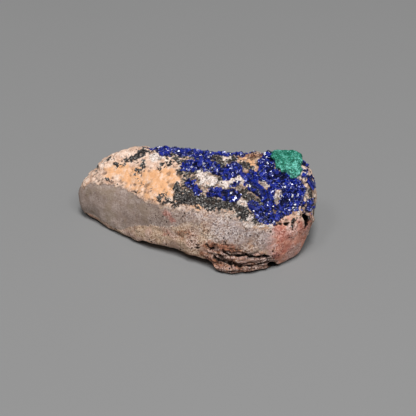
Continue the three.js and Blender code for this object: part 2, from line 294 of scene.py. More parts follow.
# The lower edges of the pale crown and of the bay in it: places along x, and the heights there.
CROWN_EDGE = (-33, -24, -14, 3, 20, 32), (8, 12.6, 12.8, 14, 14.2, 12)
BAY_EDGE = (3, 20, 32), (16.1, 14.5, 12.3)
BAY_ENDS = -4, 26

# Which ragged edges the coatings get. Without a fixed seed they change from run to run.
JUMBLE_SEED = 7

# Over how many millimetres a coating fades into its neighbour.
FADE = 1.6
FADES = {
    "beige": 3, "mottled": 7, "ledges": 2.5, "rosy": 5,
    "crown": 3, "bay": 4, "painted_shade": 6, "ashen": 4,
}
# How far each of these stands out of the rock, and how strongly medium and fine lumps show on it.
RELIEF = {
    "oxide": (0.12, 0, 0.16),
    "cream": (0.16, 0.16, 0),
    "bed": (-0.12, 0, 0),
    "brown": (-0.25, 0, 0),
}
SLIT_DEPTH = 1.5

# Where crystals also grow, thinly, beyond the crusts.
STRAYS = {
    "azurite_main_druse": [
        (0.4, (-17, 4, 19.5), (-15.5, 4, 19.5), (-14, 4.5, 20)),
        (0.9, (-13.5, 5, 20), (-12, 5, 20.5), (-10.5, 5, 20.5), (-8.5, 5, 21)),
        (1.2, (-8.5, 5, 21), (-5, 5.5, 21), (0, 6, 21), (4, 7, 21.5)),
        (0.5, (9, 9.5, 22), (13, 10, 22.5)),
        (0.4, (20.5, 6.5, 23), (22, 7.5, 23.5)),
    ],
    "azurite_front_strip": [
        (0.5, (13.5, -6, 17.5), (14.5, -5.5, 17.5)),
        (0.4, (9.5, -4.5, 18), (12.5, -3.5, 18.5)),
    ],
    "azurite_front_spots": [
        (0.6, (0, -4, 18.5), (2, -5.5, 18), (4, -6, 17.5)),
    ],
    "azurite_clump_low": [(0.4, (32, 2.5, 14), (32.5, 3, 12))],
}
# How far from a CAD crust its crystals still grow.
USUAL_REACH = 0.55
REACH = {
    "azurite_clump_corner": 0.35,
    "azurite_front_strip": 0.4,
    "azurite_front_spots": 0.35,
    "azurite_clump_heel": 0.25,
    "azurite_clump_low": 0.3,
    "azurite_clump_top": 0.3,
}
# Where the rock shows through a crust.
BARE = [
    (1, (24, -0.5, 18.5), (24, -1.5, 18)),
    (0.6, (24, -2.5, 17.5), (24.5, -3, 17)),
    (0.7, (15, -3, 19), (16.5, -4, 18.5), (18, -4, 18.5), (20.5, -4.5, 17)),
    (0.4, (23.5, -5.5, 15.5), (23.5, -6, 15)),
    (0.4, (24.5, -4.5, 16), (25, -5, 15.5)),
    (0.6, (18.5, 0, 20), (20.5, -0.5, 19.5)),
    (0.5, (20, 0.5, 20), (21, 0, 19.5)),
    (0.9, (11.5, -1, 19.5), (12.5, 0, 20), (14, -1, 19.5)),
    (0.6, (9, -2.5, 19), (11.5, -1.5, 19.5)),
    (1.2, (11.5, 6, 22), (13.5, 5.5, 22), (14.5, 4, 22)),
    (0.8, (14.5, 3.5, 22), (16, 3, 21.5)),
    (0.8, (-7.5, 3, 21), (-5, 1.5, 20.5), (-3.5, 0.5, 20.5)),
    (0.9, (3.5, 5.5, 21.5), (6, 5.5, 21.5), (8, 6, 21.5), (10, 7, 22)),
    (0.9, (6.5, 4.5, 21.5), (7, 3, 21)),
    (0.9, (2, -0.5, 19.5), (5, -1, 19.5), (7.5, -1, 19.5)),
    (1.3, (12.5, 8, 22), (15, 8, 22.5)),
    (1.1, (15, 10.5, 22.5), (16.5, 10.5, 23)),
    (1, (14.5, 4.5, 22), (16, 3.5, 22)),
]
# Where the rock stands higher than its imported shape, and by how much.
SWELLS = [
    (1.2, (2.6, (9, 10, 22), (14, 10.5, 22.5))),
    (0.7, (2.6, (14, 10.5, 22.5), (19, 10, 23))),
    (0.9, (2.6, (12.5, -15.5, 0.5), (17.5, -15, 1))),
    (0.5, (4, (-11, -11, 3), (-4, -12, 3.5), (3, -13, 4))),
    (0.7, (1.8, (-13, 5.5, 20.5), (-5, 6, 21), (5, 8, 21.5))),
    (1, (3.2, (-26, -1, 15.5), (-23.5, 0.5, 17), (-20.5, 3, 18.5), (-17, 4.5, 20))),
]
# Where the front's lower edge hangs clear of the floor: how much higher than elsewhere.
GAPS = [
    (1.5, (3.5, (-8, -12.5, 0), (-1, -13, 0))),
    (2.2, (3.5, (2.5, -14, 0), (9.5, -15, 0))),
]
# Where the malachite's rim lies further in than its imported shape.
PARED = [(1.4, (19.5, 6, 23), (20.5, 5, 22.5), (21.5, 4, 22))]
# Long crystals that lie side by side, by crust: each one's ends and its width.
BARS = {
    "azurite_main_druse": [
        ((16, -1.2, 20.2), (19.3, -2.6, 19.2), 0.42),
        ((16.4, -0.8, 20.4), (19.9, -2.3, 19.4), 0.42),
        ((16.9, -0.3, 20.5), (20.3, -1.7, 19.7), 0.42),
        ((17.5, -2.3, 19.5), (19.6, -3.1, 18.7), 0.42),
        ((14.6, 0.6, 20.9), (16.8, 0.1, 20.7), 0.6),
        ((12.4, 1, 20.7), (14.3, 0.5, 20.6), 0.55),
        ((17.9, -5.9, 17.9), (20, -6.4, 17.1), 0.6),
        ((18.3, -6.6, 17.3), (20.6, -7, 16.5), 0.55),
    ],
    "azurite_clump_top": [
        ((29.1, 7.3, 20.6), (31.3, 7.2, 18), 0.5),
        ((29.5, 6.8, 20.2), (31.8, 6.6, 17.6), 0.55),
        ((29.6, 6.2, 19.9), (31.6, 5.8, 17.4), 0.45),
    ],
}

# ---------------------------------------------------------------- measuring on the surface


def depth_in_strokes(points, strokes):
    """How deep each point lies inside the strokes: positive inside, negative outside."""
    deepest = np.full(len(points), -np.inf)
    for radius, *line in strokes:
        line = np.array(line, float)
        for start, end in zip(line[:-1], line[1:]):
            along = end - start
            offset = points - start
            share = np.clip(offset @ along / (along @ along), 0, 1)[:, None]
            distance = np.linalg.norm(offset - share * along, axis=1)
            deepest = np.maximum(deepest, radius - distance)
    return deepest


def depth_in_band(points, band):
    """How deep each point lies inside a band of the front face."""
    x, y, z = points.T
    low = np.interp(x, band["x"], band["low"])
    high = np.interp(x, band["x"], band["high"])
    sides = np.minimum(x - band["x"][0], band["x"][-1] - x)
    return np.minimum.reduce([z - low, high - z, sides, band["front"] - y])


def lumps(points, size, octaves, shift):
    """Noise at each point, about -1 to 1, with lumps of that size."""
    at = [Vector(p) for p in points / size + shift]
    return np.array([noise.fractal(p, 1, 2, octaves, noise_basis="PERLIN_ORIGINAL") for p in at])


def jumbled(points):
    """The points moved about a little, so that what is measured at them gets ragged edges."""
    noise.seed_set(JUMBLE_SEED)
    coarse = [noise.noise_vector(Vector(p)) for p in points / 1.3]
    fine = [noise.noise_vector(Vector(p)) for p in points / 0.5 + 4.2]
    return points + 0.55 * np.array(coarse) + 0.3 * np.array(fine)


def ramp(values, low, high):
    """A smooth step from 0 at low to 1 at high."""
    share = np.clip((values - low) / (high - low), 0, 1)
    return share * share * (3 - 2 * share)


def nearness(points, node, reach):
    """Distance from each point to a CAD node, or `reach` where it is further than that."""
    tree = BVHTree.FromObject(frame["nodes"][node], bpy.context.evaluated_depsgraph_get())
    low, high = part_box(node)
    near = np.all((points > np.array(low) / MM - reach) & (points < np.array(high) / MM + reach), 1)
    distance = np.full(len(points), float(reach))
    for i in np.flatnonzero(near):
        hit = tree.find_nearest(Vector(points[i]) * MM, reach * MM)
        if hit[0] is not None:
            distance[i] = hit[3] / MM
    return distance


def growth_at(points, node):
    """How strongly a crust's crystals grow at each point, 0 to 1."""
    spread = 0.25 * lumps(points, 1.4, 2, 2.3)
    reach = REACH.get(node, USUAL_REACH)
    growth = 1 - ramp(nearness(points, node, 3.0) + spread, reach - 0.25, reach + 0.35)
    if node in STRAYS:
        strays = ramp(depth_in_strokes(points, STRAYS[node]) - spread, -0.2, 0.2)
        growth = np.maximum(growth, 0.6 * strays)
    return growth * (1 - ramp(depth_in_strokes(points, BARE) - spread, -0.2, 0.2))


# ---------------------------------------------------------------- meshes


def points_of(mesh):
    flat = np.empty(len(mesh.vertices) * 3)
    mesh.vertices.foreach_get("co", flat)
    return flat.reshape(-1, 3) / MM


def set_points(mesh, points):
    mesh.vertices.foreach_set("co", (points * MM).ravel())
    mesh.update()


def normals_of(mesh):
    flat = np.empty(len(mesh.vertices) * 3)
    mesh.vertex_normals.foreach_get("vector", flat)
    return flat.reshape(-1, 3)


def smoothed(mesh, rounds, share):
    """The mesh's points drawn towards their neighbours; share may differ from point to point."""
    edges = np.empty(len(mesh.edges) * 2, np.int32)
    mesh.edges.foreach_get("vertices", edges)
    a, b = edges.reshape(-1, 2).T
    points = points_of(mesh)
    count = len(points)
    neighbours = np.bincount(edges, minlength=count)[:, None]
    for _ in range(rounds):
        total = [
            np.bincount(a, points[b, k], count) + np.bincount(b, points[a, k], count)
            for k in range(3)
        ]
        points = points + share * (np.stack(total, 1) / neighbours - points)
    return points


def new_piece(name, mesh):
    piece = bpy.data.objects.new(name, mesh)
    bpy.context.scene.collection.objects.link(piece)
    return piece


def evaluated_mesh(piece):
    """The piece's mesh with its modifiers applied and taken off."""
    bpy.context.view_layer.update()
    depsgraph = bpy.context.evaluated_depsgraph_get()
    mesh = bpy.data.meshes.new_from_object(piece.evaluated_get(depsgraph))
    piece.modifiers.clear()
    return mesh


def even_mesh(node, cell):
    """An even, closed mesh of a CAD node's shape, with cells of that size."""
    merged = bmesh.new()
    merged.from_mesh(frame["nodes"][node].data)
    bmesh.ops.remove_doubles(merged, verts=merged.verts, dist=MM / 1000)
    mesh = bpy.data.meshes.new(node + "_even")
    merged.to_mesh(mesh)
    merged.free()
    piece = new_piece(node + "_even", mesh)
    remesh = piece.modifiers.new("even", "REMESH")
    remesh.mode = "VOXEL"
    remesh.voxel_size = cell
    even = evaluated_mesh(piece)
    bpy.data.objects.remove(piece)
    if "sharp_face" in even.attributes:
        even.attributes.remove(even.attributes["sharp_face"])
    return even


def store(mesh, name, values):
    attribute = mesh.attributes.new(name, "FLOAT", "POINT")
    attribute.data.foreach_set("value", np.asarray(values, np.float32))


def finish_piece(piece, slot, material, *nodes):
    """Gives a piece its material and its place in the frame."""
    piece.data.materials.clear()
    piece.data.materials.append(material)
    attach(piece, BODY)
    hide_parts(*nodes)


# ---------------------------------------------------------------- the rock's surface


def coating_depths(points, ragged):
    """How deep each point lies in each coating of the rock, with ragged edges."""
    depths = {name: depth_in_band(ragged, band) for name, band in BANDS.items()}
    depths |= {name: depth_in_strokes(ragged, strokes) for name, strokes in STROKES.items()}
    depths["slit"] = depth_in_strokes((points + ragged) / 2, STROKES["slit"])
    x, _, z = points.T
    growth = np.max([growth_at(points, node) for node in AZURITE_NODES], axis=0)
    # bed: the rock under the crystals, painted near black as the shade between them
    depths["bed"] = 1.6 * growth - 0.7
    depths["crown"] = z - np.interp(x, *CROWN_EDGE)
    start, end = BAY_ENDS
    depths["bay"] = np.minimum.reduce([z - np.interp(x, *BAY_EDGE), x - start, end - x])
    return depths


def raised(points, table):
    """The height that a table's strokes raise each point by."""
    parts = [rise * ramp(depth_in_strokes(points, [stroke]), 0.0, 2.0) for rise, stroke in table]
    return np.max(parts, axis=0)


def rim_lift(points, normals, lift):
    """How far the underside's rim rises off the floor, so that a dark gap runs below it."""
    z = points[:, 2]
    side = np.flatnonzero((z < 1.0) & (normals[:, 2] > -0.7))
    rim = KDTree(len(side))
    for i in side:
        rim.insert((points[i, 0], points[i, 1], 0.0), i)
    rim.balance()
    low = np.flatnonzero(z < 6.0)
    distance = np.full(len(points), 9.0)
    distance[low] = [rim.find((points[i, 0], points[i, 1], 0.0))[2] for i in low]
    height = lift + raised(points, GAPS)
    inward = ramp(2.6 + 1.2 * height - distance, 0.0, 1.8 + 1.2 * height)
    return height * inward * (1 - ramp(z / (1.2 + 1.8 * height), 0.0, 1.0))


def shape_rock(mesh, settings):
    """Rounds the rock, marks its coatings and gives each its own relief."""
    points = smoothed(mesh, 6, 0.5)
    keep = ramp(-depth_in_strokes(points, STROKES["slit"]), 0.0, 1.2) * ramp(points[:, 2], 0.5, 2.5)
    set_points(mesh, points)
    points = smoothed(mesh, 22, 0.5 * keep[:, None])
    set_points(mesh, points)
    normals = normals_of(mesh)
    x, y, z = points.T

    depths = coating_depths(points, jumbled(points))
    broad = lumps(points, 3.5, 2, 3.1)
    medium = lumps(points, 1.5, 3, 8.7)
    fine = lumps(points, 0.6, 2, 5.3)
    ragged = 0.3 * medium + 0.3 * fine
    amount = {}
    for name, depth in depths.items():
        amount[name] = ramp(depth + ragged * (1.5 if name in BANDS else 1.0), -0.35, 0.35)
    amount["slit"] = ramp(depths["slit"] + 0.15 * fine, -0.2, 0.35)
    for name in COATINGS:
        ripple = 0.15 * fine if name == "slit" else ragged * 0.8
        store(mesh, name, np.clip(0.5 + (depths[name] + ripple) / FADES.get(name, FADE), -2, 3))

    calm = np.maximum.reduce([amount["worn"], 0.6 * amount["mottled"], 0.6 * amount["rosy"]])
    calm = np.maximum(calm, 0.6 * amount["beige"])
    rough = 1 - calm
    relief = 0.12 * broad + (0.03 + 0.12 * rough) * medium + (0.015 + 0.08 * rough) * fine

    bumpy_crown = amount["crown"] * (1 - amount["worn"])
    chips = ramp(lumps(points, 0.9, 2, 1.7), 0.2, 0.6) * (1 - 0.85 * amount["orange"])
    relief += bumpy_crown * (0.14 * medium - 0.35 * chips)
    relief += amount["bay"] * bumpy_crown * (0.25 * medium + 0.15 * fine)
    for name, (height, on_medium, on_fine) in RELIEF.items():
        relief += amount[name] * (height + on_medium * medium + on_fine * fine)
    front = np.maximum(amount["mottled"], amount["beige"])
    relief += 0.18 * (front * lumps(points, 2.4, 2, 9.4))
    uncoated = 1 - np.maximum.reduce([amount[name] for name in (*BANDS, "crown")])
    facets = np.array([noise.noise(Vector(p), noise_basis="VORONOI_F1") for p in points / 5.0])
    broken = 0.9 * (facets - 0.5) + 0.25 * lumps(points, 2.2, 3, 14.2)
    relief += uncoated * ramp(y, -9.0, 6.0) * broken
    relief += raised(points, SWELLS)
    knobs = lumps(points * (0.45, 0.45, 1.5), 1.2, 3, 11.9)
    relief += amount["ledges"] * (0.55 * knobs + 0.15 * broad)
    relief -= SLIT_DEPTH * amount["slit"]

    store(mesh, "sugar", ramp(x + 2 * medium, -14.0, 4.0))
    # hollow: how far each point lies below the lumps round it; the limestone paints shade there
    store(mesh, "hollow", np.clip(0.5 - (relief - 0.12 * broad) / 0.5, 0, 1))

    foot = ramp(z, 0.0, 0.9)
    sideways = ramp(normals[:, 2], -0.95, -0.6)
    points = points + normals * (relief * np.maximum(foot, sideways) * settings.relief)[:, None]
    points[:, 2] += rim_lift(points, normals, settings.lift / MM) * (1 + 0.5 * medium)
    points[:, 2] = np.maximum(points[:, 2], 0.0)
    set_points(mesh, points)


# ---------------------------------------------------------------- crystals

# Crystal forms: the half lengths of a block, then the faces that cut it, each given by its
# direction and its distance from the centre, as shares of the crystal's size.
CRYSTAL_FORMS = {
    "stout": ((0.50, 0.34, 0.55), [
        ((0.8, 0.1, 0.9), 0.52), ((-0.9, 0.0, 0.7), 0.50), ((0.1, 1.0, 0.8), 0.48),
        ((0.0, -1.0, 0.9), 0.46), ((0.7, 0.8, 0.0), 0.45),
    ]),
    "blade": ((0.62, 0.17, 0.58), [
        ((1.0, 0.0, 1.0), 0.62), ((-1.0, 0.1, 0.7), 0.60), ((0.0, 1.0, 1.1), 0.46),
        ((0.9, -0.9, 0.1), 0.42),
    ]),
    "wedge": ((0.45, 0.42, 0.62), [
        ((0.0, 1.0, 0.75), 0.40), ((0.0, -1.0, 0.75), 0.42), ((1.0, 0.2, 0.9), 0.52),
        ((-1.0, 0.3, 1.1), 0.55),
    ]),
    "cube": ((0.42, 0.40, 0.48), [
        ((1.0, 1.0, 0.9), 0.56), ((-1.0, 0.8, 0.8), 0.54), ((0.9, -1.0, 0.7), 0.55),
        ((-0.6, -0.8, 1.0), 0.52), ((0.3, 0.0, 1.0), 0.42),
    ]),
    "slab": ((0.60, 0.38, 0.30), [
        ((1.0, 0.2, 0.5), 0.52), ((-1.0, -0.3, 0.6), 0.52), ((0.2, 1.0, 0.8), 0.38),
        ((0.5, -1.0, 0.3), 0.44), ((-0.7, 0.9, 0.2), 0.48),
    ]),
}


def crystal_mesh(name, half, faces):
    """A block with its corners cut away by crystal faces."""
    mesh = bpy.data.meshes.new(name)
    crystal = bmesh.new()
    bmesh.ops.create_cube(crystal, size=2.0)
    bmesh.ops.scale(crystal, vec=half, verts=crystal.verts)
    for direction, distance in faces:
        normal = Vector(direction).normalized()
        everything = [*crystal.verts, *crystal.edges, *crystal.faces]
        cut = bmesh.ops.bisect_plane(
            crystal, geom=everything, plane_co=normal * distance, plane_no=normal, clear_outer=True
        )
        rim = [e for e in cut["geom_cut"] if isinstance(e, bmesh.types.BMEdge)]
        if rim:
            bmesh.ops.contextual_create(crystal, geom=rim)
    bmesh.ops.recalc_face_normals(crystal, faces=crystal.faces)
    crystal.to_mesh(mesh)
    crystal.free()
    return mesh


def add_bars(mesh, bars):
    """Adds the long crystals that lie side by side to a mesh of crystals."""
    joined = bmesh.new()
    joined.from_mesh(mesh)
    tone = joined.verts.layers.float["tone"]
    for number, (start, end, width) in enumerate(bars):
        start, end = Vector(start) * MM, Vector(end) * MM
        along = (end - start).normalized()
        across = along.cross(Vector((0.2, 0.3, 1.0))).normalized() * width * MM / 2
        over = along.cross(across)
        tip = along * width * MM * 0.6
        ring = []
        for place, narrow in ((start, 0.45), (start + tip, 1.0), (end - tip, 1.0), (end, 0.5)):
            sides = [across + over, -across + over, -across - over, across - over]
            ring.append([joined.verts.new(place + side * narrow) for side in sides])
        for near, far in zip(ring[:-1], ring[1:]):
            for k in range(4):
                joined.faces.new((near[k], near[k - 1], far[k - 1], far[k]))
        joined.faces.new(ring[0])
        joined.faces.new(ring[-1][::-1])
        for vertex in sum(ring, []):
            vertex[tone] = (number * 0.37) % 1.0
    bmesh.ops.recalc_face_normals(joined, faces=joined.faces)
    joined.to_mesh(mesh)
    joined.free()


def crystal_collection():
    """The crystal forms as objects, in a collection of their own that the scene doesn't show."""
    forms = bpy.data.collections.new("crystal_forms")
    for name, (half, faces) in CRYSTAL_FORMS.items():
        forms.objects.link(bpy.data.objects.new("form_" + name, crystal_mesh(name, half, faces)))
    return forms


class Wire:
    """A node tree's socket that takes part in Python arithmetic: each operation adds its node."""

    def __init__(self, tree, socket=None):
        self.tree = tree
        self.socket = socket

    def node(self, kind, settings=None, inputs=None, output=0):
        """Adds a node: its settings first, then the values or links of its inputs."""
        made = self.tree.nodes.new(kind)
        for name, value in (settings or {}).items():
            setattr(made, name, value)
        for name, value in (inputs or {}).items():
            if isinstance(value, Wire):
                self.tree.links.new(value.socket, made.inputs[name])
            else:
                made.inputs[name].default_value = value
        return Wire(self.tree, made.outputs[output] if made.outputs else None)

    def math(self, operation, *values):
        return self.node("ShaderNodeMath", {"operation": operation}, dict(enumerate(values)))

    def __add__(self, other):
        return self.math("ADD", self, other)

    __radd__ = __add__

    def __mul__(self, other):
        return self.math("MULTIPLY", self, other)

    __rmul__ = __mul__

    def __sub__(self, other):
        return self.math("SUBTRACT", self, other)

    def __rsub__(self, other):
        return self.math("SUBTRACT", other, self)

    def larger(self, other):
        return self.math("MAXIMUM", self, other)

    def step(self, low, high, start=0.0, end=1.0):
        """A smooth step of this value, from start at low to end at high."""
        return self.node(
            "ShaderNodeMapRange",
            {"interpolation_type": "SMOOTHSTEP"},
            {"Value": self, "From Min": low, "From Max": high, "To Min": start, "To Max": end},
        )

    def stops(self, colours):
        """The colour that this value picks from a row of (place, colour) stops."""
        ramp_wire = self.node("ShaderNodeValToRGB", None, {"Fac": self})
        row = ramp_wire.socket.node.color_ramp.elements
        while len(row) < len(colours):
            row.new(0.5)
        for stop, (place, colour) in zip(row, colours):
            stop.position = place
            stop.color = colour
        return ramp_wire

    def coat(self, under, over):
        """The colour `over` laid on `under`, as far as this mask says."""
        return self.node("ShaderNodeMix", {"data_type": "RGBA"}, {0: self, 6: under, 7: over}, 2)

    def mottle(self, size, detail=3.0, roughness=0.55, shift=0.0):
        """Noise on this position, with lumps of that size."""
        at = self.node("ShaderNodeVectorMath", {"operation": "ADD"}, {0: self, 1: (shift,) * 3})
        return self.node(
            "ShaderNodeTexNoise",
            inputs={"Vector": at, "Scale": 1 / size, "Detail": detail, "Roughness": roughness},
        )

    def streaks(self, sizes, turn):
        """This position turned and scaled, so that noise on it is drawn out into streaks."""
        return self.node(
            "ShaderNodeMapping",
            {"vector_type": "TEXTURE"},
            {"Vector": self, "Rotation": turn, "Scale": sizes},
        )

    def cells(self, size, output=0):
        """Grains of that size on this position: the distance in each, or with output 1 a colour."""
        return self.node("ShaderNodeTexVoronoi", None, {"Vector": self, "Scale": 1 / size}, output)

    def height(self):
        """How high this position lies."""
        return self.node("ShaderNodeSeparateXYZ", None, {0: self}, 2)

    def attribute(self, name):
        """A value stored on the piece's points."""
        return self.node("ShaderNodeAttribute", {"attribute_name": name}, output="Fac")

    def bump(self, distance, strength=1.0):
        """The normal that this height gives a surface, at that many millimetres for 1."""
        return self.node(
            "ShaderNodeBump",
            None,
            {"Strength": strength, "Distance": distance * MM, "Height": self},
        )


# The tiers of crystals: their spacing as a share of their size, and how deep they sit in the rock.
TIERS = {"Small": (0.62, 0.05), "Large": (0.78, 0.0)}
# More places than the spacing ever leaves free, on each square metre.
PLACES = 4e7
# The smallest and largest stretch of a crystal along its x, y and z.
STRETCH = {"X": (0.85, 1.35), "Y": (0.8, 1.1), "Z": (0.85, 1.1)}


def tier_of_crystals(wire, given, tier, seed, growth, forms):
    """One tier's crystals, scattered on the surface, each leaning, sized and toned at random."""

    def chance(low, high, draw):
        kind = {"data_type": "FLOAT"}
        return wire.node("FunctionNodeRandomValue", kind, {2: low, 3: high, "Seed": seed + draw}, 1)

    scatter = wire.node(
        "GeometryNodeDistributePointsOnFaces",
        {"distribute_method": "POISSON"},
        {
            "Mesh": given["Surface"],
            "Distance Min": given[f"{tier} spacing"],
            "Density Max": PLACES,
            "Density Factor": growth,
            "Seed": seed,
        },
    )
    upright = Wire(wire.tree, scatter.socket.node.outputs["Rotation"])
    size = given[f"{tier} size"] * (1.0 + given["Variation"] * chance(-1.0, 1.0, 1))
    size = size * (0.55 + 0.45 * growth)
    lean = {axis: given["Tilt"] * chance(-1.0, 1.0, draw) for axis, draw in (("X", 2), ("Y", 3))}
    lean["Z"] = chance(-math.pi, math.pi, 4)
    spin = wire.node("ShaderNodeCombineXYZ", inputs=lean)
    turn = wire.node("FunctionNodeEulerToRotation", None, {0: spin})
    turned = wire.node(
        "FunctionNodeRotateRotation",
        {"rotation_space": "LOCAL"},
        {"Rotation": upright, "Rotate By": turn},
    )
    sizes = {axis: size * chance(*ends, 5 + k) for k, (axis, ends) in enumerate(STRETCH.items())}
    toned = wire.node(
        "GeometryNodeStoreNamedAttribute",
        {"data_type": "FLOAT", "domain": "POINT"},
        {"Geometry": scatter, "Name": "tone", "Value": chance(0.0, 1.0, 8)},
    )
    pick = wire.node(
        "FunctionNodeRandomValue",
        {"data_type": "INT"},
        {4: 0, 5: len(CRYSTAL_FORMS) - 1, "Seed": seed + 9},
        2,
    )
    placed = wire.node(
        "GeometryNodeInstanceOnPoints",
        None,
        {
            "Points": toned,
            "Instance": forms,
            "Pick Instance": True,
            "Instance Index": pick,
            "Rotation": turned,
            "Scale": wire.node("ShaderNodeCombineXYZ", inputs=sizes),
        },
    )
    lift = wire.node("ShaderNodeCombineXYZ", inputs={"Z": given[f"{tier} sink"] * -1.0})
    return wire.node(
        "GeometryNodeTranslateInstances",
        None,
        {"Instances": placed, "Translation": lift, "Local Space": True},
    )


def crystal_tree():
    """Nodes that cover a surface with crystals, tier by tier."""
    tree = bpy.data.node_groups.new("crystal_growth", "GeometryNodeTree")
    sockets = [
        ("Surface", "Geometry"), ("Forms", "Collection"), ("Material", "Material"),
        ("Tilt", "Float"), ("Variation", "Float"), ("Seed", "Int"),
        *[(f"{tier} {name}", "Float") for tier in TIERS for name in ("spacing", "size", "sink")],
    ]
    for name, kind in sockets:
        tree.interface.new_socket(name, in_out="INPUT", socket_type="NodeSocket" + kind)
    tree.interface.new_socket("Crystals", in_out="OUTPUT", socket_type="NodeSocketGeometry")

    entry = tree.nodes.new("NodeGroupInput")
    given = {socket.name: Wire(tree, socket) for socket in entry.outputs if socket.name}
    wire = Wire(tree)
    growth = wire.node(
        "GeometryNodeInputNamedAttribute", {"data_type": "FLOAT"}, {"Name": "growth"}
    )
    joined = wire.node("GeometryNodeJoinGeometry")
    forms = wire.node(
        "GeometryNodeCollectionInfo",
        inputs={"Collection": given["Forms"], "Separate Children": True, "Reset Children": True},
    )
    for number, tier in enumerate(TIERS):
        seed = given["Seed"] + 20 * number
        crystals = tier_of_crystals(wire, given, tier, seed, growth, forms)
        tree.links.new(crystals.socket, joined.socket.node.inputs[0])
    solid = wire.node("GeometryNodeRealizeInstances", None, {"Geometry": joined})
    painted = wire.node(
        "GeometryNodeSetMaterial", None, {"Geometry": solid, "Material": given["Material"]}
    )
    leave = tree.nodes.new("NodeGroupOutput")
    tree.links.new(painted.socket, leave.inputs[0])
    return tree


def patch_of(rock, node, name):
    """The part of the rock's surface that a crust covers, with how strongly crystals grow on it."""
    growth = growth_at(points_of(rock.data), node)
    patch = bmesh.new()
    patch.from_mesh(rock.data)
    layer = patch.verts.layers.float.new("growth")
    for vertex, amount in zip(patch.verts, growth):
        vertex[layer] = amount
    bare = [v for v, amount in zip(patch.verts, growth) if amount <= 0]
    bmesh.ops.delete(patch, geom=bare, context="VERTS")
    mesh = bpy.data.meshes.new(name)
    patch.to_mesh(mesh)
    patch.free()
    return mesh


# ---------------------------------------------------------------- materials


def paint(code):
    """A linear colour from a hexadecimal one."""
    parts = [(code >> shift & 255) / 255 for shift in (16, 8, 0)]
    return (*[c / 12.92 if c <= 0.04045 else ((c + 0.055) / 1.055) ** 2.4 for c in parts], 1.0)


def layered(colour, *coats):
    """The colour with coats laid on it in turn: each one's mask, and its colour or code."""
    for mask, over in coats:
        colour = mask.coat(colour, over if isinstance(over, Wire) else paint(over))
    return colour


def new_material(name):
    """A new material, a wire of its tree, and the shaded place on the piece in millimetres."""
    material = bpy.data.materials.new(name)
    material.use_nodes = True
    material.node_tree.nodes.clear()
    wire = Wire(material.node_tree)
    place = wire.node("ShaderNodeTexCoord", output="Object")
    mm = wire.node("ShaderNodeVectorMath", {"operation": "SCALE"}, {0: place, "Scale": 1 / MM})
    return material, wire, mm


def surface(material, wire, fixed, colour, roughness, normal=None):
    """Ends a material in a Principled shader, with fixed values on the shader's own sockets."""
    inputs = {**fixed, "Base Color": colour, "Roughness": roughness}
    if normal is not None:
        inputs["Normal"] = normal
    shader = wire.node("ShaderNodeBsdfPrincipled", None, inputs)
    wire.node("ShaderNodeOutputMaterial", None, {"Surface": shader})
    return material


